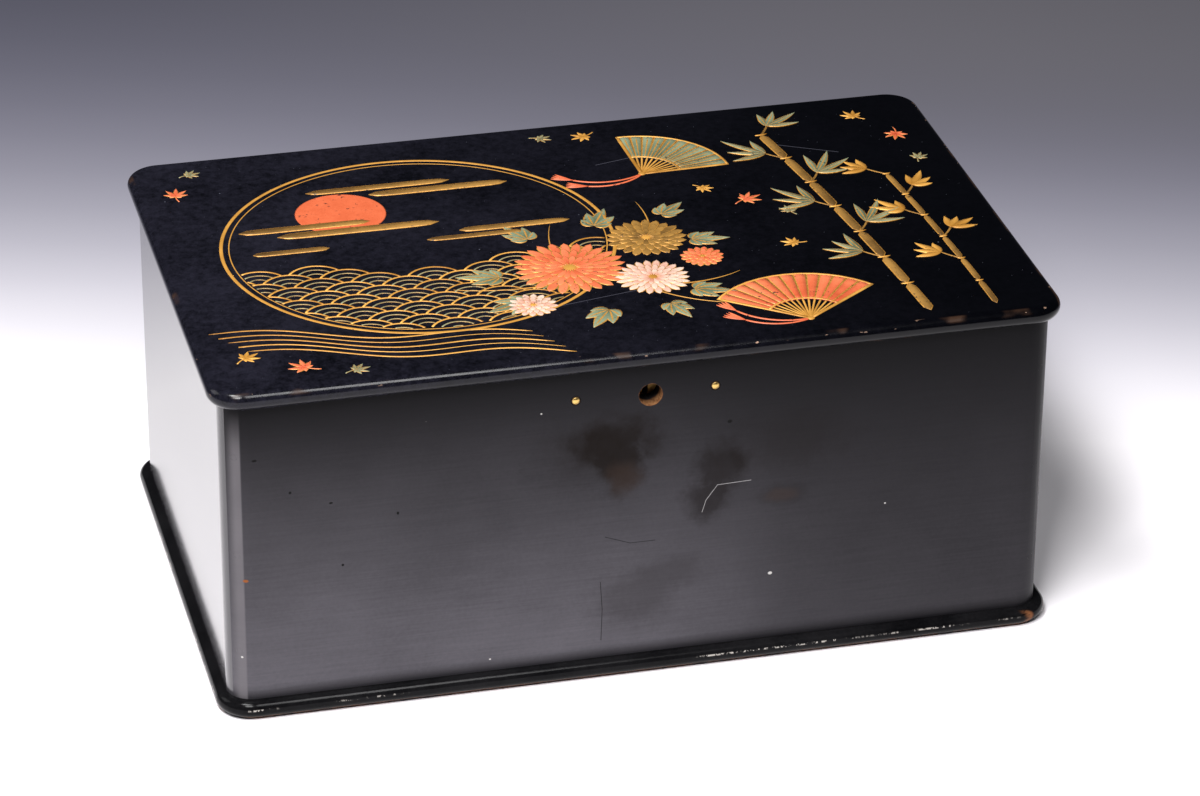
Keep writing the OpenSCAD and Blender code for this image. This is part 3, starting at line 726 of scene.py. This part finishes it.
# %% [markdown]
# ## Ornament on the lid
# The ornament is lacquer too: each stroke is laid on thick, so it stands a hair above the board, and powdered
# gold or colour is dusted into it while it is wet. It could be painted as a picture in the material alone, but
# strokes with real thickness catch light on their edges as the old ones do. Every stroke, petal and leaf is
# the same thing: a slab that is bent onto a path, given a width that swells and tapers, and domed across.
# A path is an even bend from a start at a heading, which serves for straight lines and arcs alike.

# %% Paths and strokes
LAID_DEEP_MM = 0.06


def bend_path(start, heading, length, bend=0.0):
    """Place and heading at a share of the way, on a stroke that turns evenly by bend degrees."""
    first, turn = radians(heading), radians(bend)

    def at(share):
        now = first + turn * share
        if abs(turn) < 1e-4:
            return start[0] + cos(first) * length * share, start[1] + sin(first) * length * share, now
        radius = length / turn
        return (start[0] + (sin(now) - sin(first)) * radius,
                start[1] + (cos(first) - cos(now)) * radius, now)
    return at


def arc_path(middle, radius, first, last):
    start = (middle[0] + radius * cos(radians(first)), middle[1] + radius * sin(radians(first)))
    return bend_path(start, first + 90, radius * radians(last - first), last - first)


def even(share):
    return 1.0


def round_ends(share):
    return max(0.0, 1 - abs(2 * share - 1) ** 8) ** 0.5


def petal(share):
    return sin(pi * share ** 1.5) ** 0.55


def leaf(share):
    return sin(pi * share ** 0.8) ** 0.9


def taper(share):
    return (1 - share) ** 0.7


class Ornament:
    """Strokes of one finish that ride on the lid as one piece."""

    def __init__(self, name, seed=1):
        self.name = name
        self.bm = bmesh.new()
        self.mark = self.bm.verts.layers.float_vector.new("stroke")
        self.random = random.Random(seed)

    def stroke(self, path, width_mm, shape=even, rise_mm=0.12, base_mm=0.02, steps=8, rows=2):
        slab = bmesh.ops.create_grid(self.bm, x_segments=steps, y_segments=rows, size=0.5)["verts"]
        faces = list({face for vert in slab for face in vert.link_faces})
        raised = bmesh.ops.extrude_face_region(self.bm, geom=faces)["geom"]
        tone = self.random.random()
        for verts, height in ((slab, 0), ([v for v in raised if isinstance(v, bmesh.types.BMVert)], 1)):
            for vert in verts:
                along, across = vert.co.x + 0.5, vert.co.y * 2
                x, y, heading = path(along)
                half = max(shape(along), 0.03) * width_mm / 2 * across
                level = base_mm + rise_mm * (1 - across * across) if height else -LAID_DEEP_MM
                vert[self.mark] = (along, across, tone)
                vert.co = Vector((x - sin(heading) * half, y + cos(heading) * half,
                                  LID_TOP_MM + level)) * MM

    def disc(self, middle, radius_mm, rise_mm=0.2, around=40):
        """A low dome, made from a sphere that is pressed almost flat."""
        made = bmesh.ops.create_uvsphere(self.bm, u_segments=around, v_segments=12, radius=1)["verts"]
        tone = self.random.random()
        for vert in made:
            reach = Vector(vert.co.xy).length
            vert[self.mark] = (0.5, reach, tone)
            vert.co = Vector((middle[0] + vert.co.x * radius_mm, middle[1] + vert.co.y * radius_mm,
                              LID_TOP_MM + vert.co.z * rise_mm)) * MM

    def ring(self, middle, radius_mm, width_mm, rise_mm=0.14):
        """A wire that is spun once round the middle and pressed almost flat."""
        profile = bmesh.ops.create_circle(self.bm, segments=8, radius=width_mm / 2)
        for vert in profile["verts"]:
            vert[self.mark] = (0.5, 0.0, 0.5)
            vert.co = Vector((radius_mm + vert.co.x, 0, vert.co.y / (width_mm / 2) * rise_mm))
        edges = list({edge for vert in profile["verts"] for edge in vert.link_edges})
        spun = set(self.bm.verts) - set(profile["verts"])
        bmesh.ops.spin(self.bm, geom=profile["verts"] + edges, cent=(0, 0, 0), axis=(0, 0, 1),
                       angle=2 * pi, steps=144, use_merge=True)
        for vert in set(self.bm.verts) - spun:
            vert.co = (vert.co + Vector((*middle, LID_TOP_MM))) * MM

    def piece(self, finish):
        bmesh.ops.recalc_face_normals(self.bm, faces=self.bm.faces)
        for face in self.bm.faces:
            face.smooth = True
        mesh = bpy.data.meshes.new(self.name)
        self.bm.to_mesh(mesh)
        self.bm.free()
        mesh.materials.append(finish)
        made = bpy.data.objects.new(self.name, mesh)
        scene.collection.objects.link(made)
        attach(made, "lid")
        print(self.name, "faces:", len(mesh.polygons))
        return made


# %% [markdown]
# ## Gold, coral, green and pale lacquer
# Every stroke carries three numbers: how far along it a point lies, how far across, and a chance tone. The
# finishes read them, so a petal can be pale at its tip and have a gold rim, and no two leaves are quite alike.
# Gold powder is not a mirror: it is a warm, grainy paint with a little metal in it, rubbed thin in places.

# %% Ornament finishes
GOLD_DEEP, GOLD_BRIGHT = (0.36, 0.150, 0.016), (0.82, 0.42, 0.085)


def ornament_finish(name, deep, bright, rim=None, vein=0.0, gold=0.0, wear=0.62):
    """Coloured lacquer from deep at a stroke's root to bright at its tip, with an optional gold rim."""
    paint = Finish(name)
    mark = paint.node("Attribute", {"attribute_name": "stroke"}, {}, "Vector")
    along, across, tone = (paint.node("SeparateXYZ", {}, {0: mark}, axis) for axis in range(3))
    across = across.absolute()
    grain = paint.noise(0.45, 3.0, 0.7, 2.0)
    cloud = paint.noise(7.0, 3.0, 0.6, 5.0)
    shade = along * 0.45 + tone * 0.3 + cloud * 0.5 + (grain - 0.5) * 0.5 - 0.18
    colour = paint.colours(shade.rise(0.0, 0.85), deep, bright)
    metal = (grain * gold).at_most(1.0)
    if rim is not None:
        edge = across.rise(rim - 0.08, rim + 0.06)
        if vein:
            edge = edge.at_least(across.fall(vein * 0.6, vein) * along.fall(0.75, 0.9))
        gilt = paint.colours(grain.rise(0.3, 0.7), GOLD_DEEP, GOLD_BRIGHT)
        colour = paint.colours(edge, colour, gilt)
        metal = metal.at_least(edge * 0.35)
    rub_and_highlight = (paint.noise(2.2, 4.0, 0.7, 8.0) + (cloud - 0.5) * 0.3).rise(wear, wear + 0.05)
    colour = paint.colours(rub_and_highlight * 0.8, colour, (0.012, 0.011, 0.012))
    rough = 0.34 + grain * 0.22
    return paint.surface(Base_Color=colour, Metallic=metal * (1 - rub_and_highlight), Roughness=rough,
                         Normal=paint.bump(grain - rub_and_highlight * 0.8, 0.04, 0.6))


gold_paint = ornament_finish("gold_lacquer", GOLD_DEEP, GOLD_BRIGHT, gold=0.5, wear=0.66)
coral_paint = ornament_finish("coral_lacquer", (0.46, 0.070, 0.022), (0.80, 0.20, 0.085), rim=0.80)
coral_plain = ornament_finish("coral_lacquer_plain", (0.50, 0.085, 0.028), (0.78, 0.18, 0.075))
green_paint = ornament_finish("green_lacquer", (0.060, 0.085, 0.050), (0.24, 0.29, 0.18), rim=0.78, vein=0.16)
pale_paint = ornament_finish("pale_lacquer", (0.50, 0.18, 0.11), (0.74, 0.55, 0.44), rim=0.82)
dusk_paint = ornament_finish("dusty_gold_lacquer", (0.10, 0.050, 0.012), (0.42, 0.22, 0.05), rim=0.80, gold=0.4)
print("finishes with the ornament's:", len(bpy.data.materials))

# %% [markdown]
# ## A roundel of sun, mist and sea
# A gold ring frames a small sea: a coral sun behind bands of gold mist, over rows of overlapping wave
# scales. A wave scale is three arcs inside each other. The scales in front cover the lower part of those
# behind, so only the upper part of each arc is laid, and an arc that runs into the ring is left short.

# %% Roundel
ROUNDEL_MM, ROUNDEL_RADIUS_MM = (-64.0, 6.0), 76.0
WAVE_RADIUS_MM, SEA_DEPTH_MM, RING_MARGIN_MM = 11.0, 62, 3.6
WAVE_ARCS = ((1.0, 29, 0.95), (0.69, 36, 0.75), (0.38, 36, 0.7))
MIST_BANDS = ((-130, -78, 30, 4.6), (-116, -52, 23.5, 5.2), (-98, -40, 60, 4.2), (-74, -18, 53.5, 4.8),
              (-46, -2, 14, 4.2), (-60, -22, 8.5, 3.4), (-128, -98, 10, 3.6))

rings = Ornament("roundel_rings")
rings.ring(ROUNDEL_MM, ROUNDEL_RADIUS_MM, 1.5)
rings.ring(ROUNDEL_MM, ROUNDEL_RADIUS_MM - 3.0, 0.5, 0.08)
rings.piece(gold_paint)

sun = Ornament("rising_sun")
sun.disc((ROUNDEL_MM[0] - 24, ROUNDEL_MM[1] + 33), 18.0, 0.12, 64)
sun.piece(coral_plain)

mist = Ornament("mist_bands", 3)
for x0, x1, y, width in MIST_BANDS:
    mist.stroke(bend_path((x0, y), 0, x1 - x0), width, round_ends, 0.1, 0.12, 18)
mist.piece(dusk_paint)


def inside_roundel(x, y):
    reach = sqrt((x - ROUNDEL_MM[0]) ** 2 + (y - ROUNDEL_MM[1]) ** 2)
    return reach < ROUNDEL_RADIUS_MM - RING_MARGIN_MM


def lay_scale(outer, inner, x, y):
    """The arcs of one wave scale, as far as they lie inside the ring."""
    for scale, start, width in WAVE_ARCS:
        radius = WAVE_RADIUS_MM * scale
        turns = [a for a in range(start, 181 - start, 2)
                 if inside_roundel(x + radius * cos(radians(a)), y + radius * sin(radians(a)))]
        if len(turns) > 6:
            piece = outer if scale > 0.9 else inner
            piece.stroke(arc_path((x, y), radius, turns[0], turns[-1]), width, even, 0.09, 0.02, 12, 2)


def lay_waves(outer, inner):
    """Rows of scales, up to a swell that rises and falls across the roundel."""
    for row in range(int(SEA_DEPTH_MM / (WAVE_RADIUS_MM / 2))):
        y = ROUNDEL_MM[1] - ROUNDEL_RADIUS_MM + row * WAVE_RADIUS_MM / 2
        for column in range(-4, 5):
            x = ROUNDEL_MM[0] + (2 * column + row % 2) * WAVE_RADIUS_MM
            if y <= ROUNDEL_MM[1] - 22 + 9 * sin(x * 0.045 + 1.0):
                lay_scale(outer, inner, x, y)


wave_gold, wave_green = Ornament("wave_crests", 5), Ornament("wave_hollows", 6)
lay_waves(wave_gold, wave_green)
wave_gold.piece(gold_paint)
wave_green.piece(green_paint)

# %% [markdown]
# ## Chrysanthemums
# A chrysanthemum is rings of long petals round a button. The outer ring lies lowest and each ring further in
# starts a little higher, so the flower swells towards its middle. The cluster breaks out of the roundel, as
# such flowers often do, which keeps the ring from looking like a stamp.

# %% Flowers and leaves
def chrysanthemum(flower, button, middle, radius, petals, turn):
    """Three rings of petals, given as outer and inner share of the radius, petals and height in mm."""
    for share, inner, count, base in ((1.0, 0.34, petals, 0.10), (0.74, 0.20, petals - 3, 0.20),
                                      (0.46, 0.10, petals - 8, 0.30)):
        for i in range(count):
            heading = turn + 360 * (i + (0.5 if share < 0.9 else 0)) / count
            start = (middle[0] + cos(radians(heading)) * radius * inner,
                     middle[1] + sin(radians(heading)) * radius * inner)
            reach = radius * (share - inner) * flower.random.uniform(0.94, 1.04)
            width = 2 * pi * radius * share / count * 0.82
            flower.stroke(bend_path(start, heading - 4, reach, 8), width, petal, 0.12, base, 8, 4)
    button.disc(middle, radius * 0.14, 0.55, 16)


def lobed_leaf(foliage, middle, heading, length):
    """A leaf of five lobes that share one root, the middle one longest."""
    for offset, share in ((0, 1.0), (34, 0.72), (-34, 0.72), (70, 0.45), (-70, 0.45)):
        foliage.stroke(bend_path(middle, heading + offset, length * share, offset * -0.3),
                       length * 0.34, leaf, 0.1, 0.05, 8, 4)


coral_flowers, gold_flowers = Ornament("coral_chrysanthemums", 11), Ornament("gold_chrysanthemum", 12)
pale_flowers, buttons = Ornament("pale_chrysanthemums", 13), Ornament("flower_buttons", 14)
foliage, stalks = Ornament("chrysanthemum_leaves", 15), Ornament("chrysanthemum_stalks", 16)

for x, y, heading, length in ((-40, -30, 168, 17), (-34, -52, 200, 18), (6, 6, 62, 16), (34, 10, 40, 14),
                              (40, -14, -8, 15), (30, -56, -20, 16), (-6, -66, 235, 16), (18, -66, 290, 14),
                              (-22, 0, 118, 15)):
    lobed_leaf(foliage, (x, y), heading, length)
for start, heading, length, bend in (((-14, -30), 100, 42, -30), ((24, -10), 70, 34, 30), ((10, -46), -60, 38, 40),
                                     ((-20, -40), 190, 40, -30), ((22, -50), -10, 30, 40)):
    stalks.stroke(bend_path(start, heading, length, bend), 1.0, taper, 0.1, 0.04, 12)
chrysanthemum(pale_flowers, buttons, (17.0, -43.0), 14.5, 22, 5)
chrysanthemum(gold_flowers, buttons, (23.0, -9.0), 16.0, 22, 12)
chrysanthemum(coral_flowers, buttons, (-12.0, -28.0), 22.0, 26, 0)
chrysanthemum(pale_flowers, buttons, (-33.0, -56.0), 9.5, 16, 9)
chrysanthemum(coral_flowers, buttons, (40.0, -30.0), 8.5, 16, 3)
foliage.piece(green_paint)
stalks.piece(gold_paint)
pale_flowers.piece(pale_paint)
gold_flowers.piece(dusk_paint)
coral_flowers.piece(coral_paint)
buttons.piece(gold_paint)

# %% [markdown]
# ## Bamboo, fans, maple leaves and a stream
# These are stock motifs of the trade. A bamboo stem is a row of short strokes with a knot between each two,
# and its leaves hang from the knots in bunches. A fan is a quarter ring of narrow panels over its ribs. A
# maple leaf is seven lobes round one point. A stream is a few lines that swing together.

# %% Bamboo
def bamboo(stem, knots, leaves, foot, heading, joint, count, width, bend, leaf_mm):
    """A stem of count joints from its foot, with a bunch of leaves at each knot but the first."""
    x, y = foot
    for i in range(count):
        path = bend_path((x, y), heading, joint, bend)
        stem.stroke(path, width, round_ends, 0.16, 0.04, 8)
        x, y, now = path(1.0)
        knots.stroke(bend_path((x - sin(now) * -width * 0.62, y - cos(now) * width * 0.62),
                               degrees(now) + 90, width * 1.24), 1.0, round_ends, 0.2, 0.1, 4)
        heading = degrees(now)
        if i > 0:
            side = 1 if i % 2 else -1
            twig = bend_path((x, y), heading + side * 48, 9, side * -16)
            stem.stroke(twig, 0.8, even, 0.08, 0.05, 4)
            tip = twig(1.0)
            for k, turn in enumerate((-52, -22, 8, 40)):
                length = leaf_mm * leaves.random.uniform(0.8, 1.2) * (0.8 if k in (0, 3) else 1.0)
                leaves.stroke(bend_path(tip[:2], heading + side * 62 + side * turn, length, side * -10),
                              3.4, leaf, 0.12, 0.1 + 0.04 * k, 10, 2)


bamboo_gold, bamboo_green = Ornament("bamboo_leaves_gold", 21), Ornament("bamboo_leaves_green", 22)
bamboo_stems, bamboo_knots = Ornament("bamboo_stems", 23), Ornament("bamboo_knots", 24)
bamboo(bamboo_stems, bamboo_knots, bamboo_green, (112, -94), 94, 24, 7, 4.2, 0.8, 18)
bamboo(bamboo_stems, bamboo_knots, bamboo_gold, (138, -94), 91, 20, 6, 2.6, 0.8, 12)
bamboo_stems.piece(dusk_paint)
bamboo_knots.piece(gold_paint)
bamboo_green.piece(green_paint)
bamboo_gold.piece(gold_paint)

# %% Fans
CORAL_FAN_MM, GREEN_FAN_MM = (66, -90), (36, 48)


def folding_fan(panels, ribs, pivot, radius, first, last, folds):
    """An open fan from the first to the last heading, of narrow panels over its ribs."""
    step = (last - first) / folds
    for i in range(folds):
        middle = radians(first + (i + 0.5) * step)
        start = (pivot[0] + cos(middle) * radius * 0.42, pivot[1] + sin(middle) * radius * 0.42)
        panels.stroke(bend_path(start, degrees(middle), radius * 0.58), 2 * radius * sin(radians(step / 2)) * 1.02,
                      lambda share: 0.42 + 0.58 * share, 0.14, 0.06, 6)
    for i in range(folds + 1):
        outer = i in (0, folds)
        turn = first + i * step
        ribs.stroke(bend_path(pivot, turn, radius * (1.0 if outer else 0.44)), 1.5 if outer else 0.8, even,
                    0.1, 0.12 if outer else 0.02, 6)
    ribs.stroke(arc_path(pivot, radius * 0.985, first, last), 0.9, even, 0.08, 0.2, 36)
    ribs.stroke(arc_path(pivot, radius * 0.44, first, last), 0.9, even, 0.08, 0.2, 24)
    ribs.disc(pivot, 1.5, 0.5, 16)


coral_fan, green_fan, fan_ribs = Ornament("coral_fan", 31), Ornament("green_fan", 32), Ornament("fan_ribs", 33)
folding_fan(coral_fan, fan_ribs, CORAL_FAN_MM, 38, 36, 142, 13)
folding_fan(green_fan, fan_ribs, GREEN_FAN_MM, 36, 2, 92, 11)
coral_fan.piece(coral_paint)
green_fan.piece(green_paint)
fan_ribs.piece(gold_paint)

# %% Tassels, maple leaves and stream
tassels = Ornament("fan_tassels", 34)
for pivot, heading in ((CORAL_FAN_MM, 190), (GREEN_FAN_MM, 215)):
    for turn, length in ((0, 30), (16, 26)):
        cord = bend_path(pivot, heading + turn, length, -70)
        tassels.stroke(cord, 1.0, even, 0.12, 0.1, 14)
        x, y, now = cord(1.0)
        for spread in (-14, -5, 5, 14):
            tassels.stroke(bend_path((x, y), degrees(now) + spread, 9), 1.1, petal, 0.12, 0.1, 5)
tassels.piece(coral_plain)

MAPLES = {"coral_maple_leaves": (coral_paint, [(70, 16, 7.0, 20), (-148, 70, 6.5, 80), (-126, -86, 7.0, 140),
                                               (146, 62, 6.5, 250)]),
          "gold_maple_leaves": (gold_paint, [(56, 30, 5.0, 300), (-146, -74, 6.0, 30), (22, 88, 6.0, 200),
                                             (78, -26, 5.5, 160), (134, 82, 6.0, 120)]),
          "green_maple_leaves": (green_paint, [(84, 2, 5.0, 100), (-108, -92, 5.5, 10), (-140, 88, 5.0, 10),
                                               (4, 90, 5.0, 330), (148, 38, 5.0, 60)])}
for name, (finish, places) in MAPLES.items():
    maple = Ornament(name, len(name))
    for x, y, radius, turn in places:
        for offset, share in ((0, 1), (42, 0.92), (-42, 0.92), (84, 0.74), (-84, 0.74), (126, 0.46), (-126, 0.46)):
            maple.stroke(bend_path((x, y), turn + offset, radius * share), radius * 0.30, leaf, 0.12, 0.05, 7)
        maple.stroke(bend_path((x, y), turn + 180, radius * 0.9, 30), 0.55, even, 0.1, 0.05, 6)
    maple.piece(finish)

STREAM_LINES = 5


def stream_path(lane):
    """A line that runs down to the right and swings as it goes. Each lane lies a little lower."""
    def at(share):
        x = -156 + 118 * share + lane * 3
        swing = share * 9.0 + lane * 0.12
        y = -52 - 26 * share + 3.4 * sin(swing) - lane * 4.6
        return x, max(y, -97.0), radians((-26 + 30 * cos(swing)) * 0.5)
    return at


stream = Ornament("stream_lines", 41)
for lane in range(STREAM_LINES):
    stream.stroke(stream_path(lane), 0.9, taper if lane % 2 else round_ends, 0.1, 0.02, 40)
stream.piece(gold_paint)
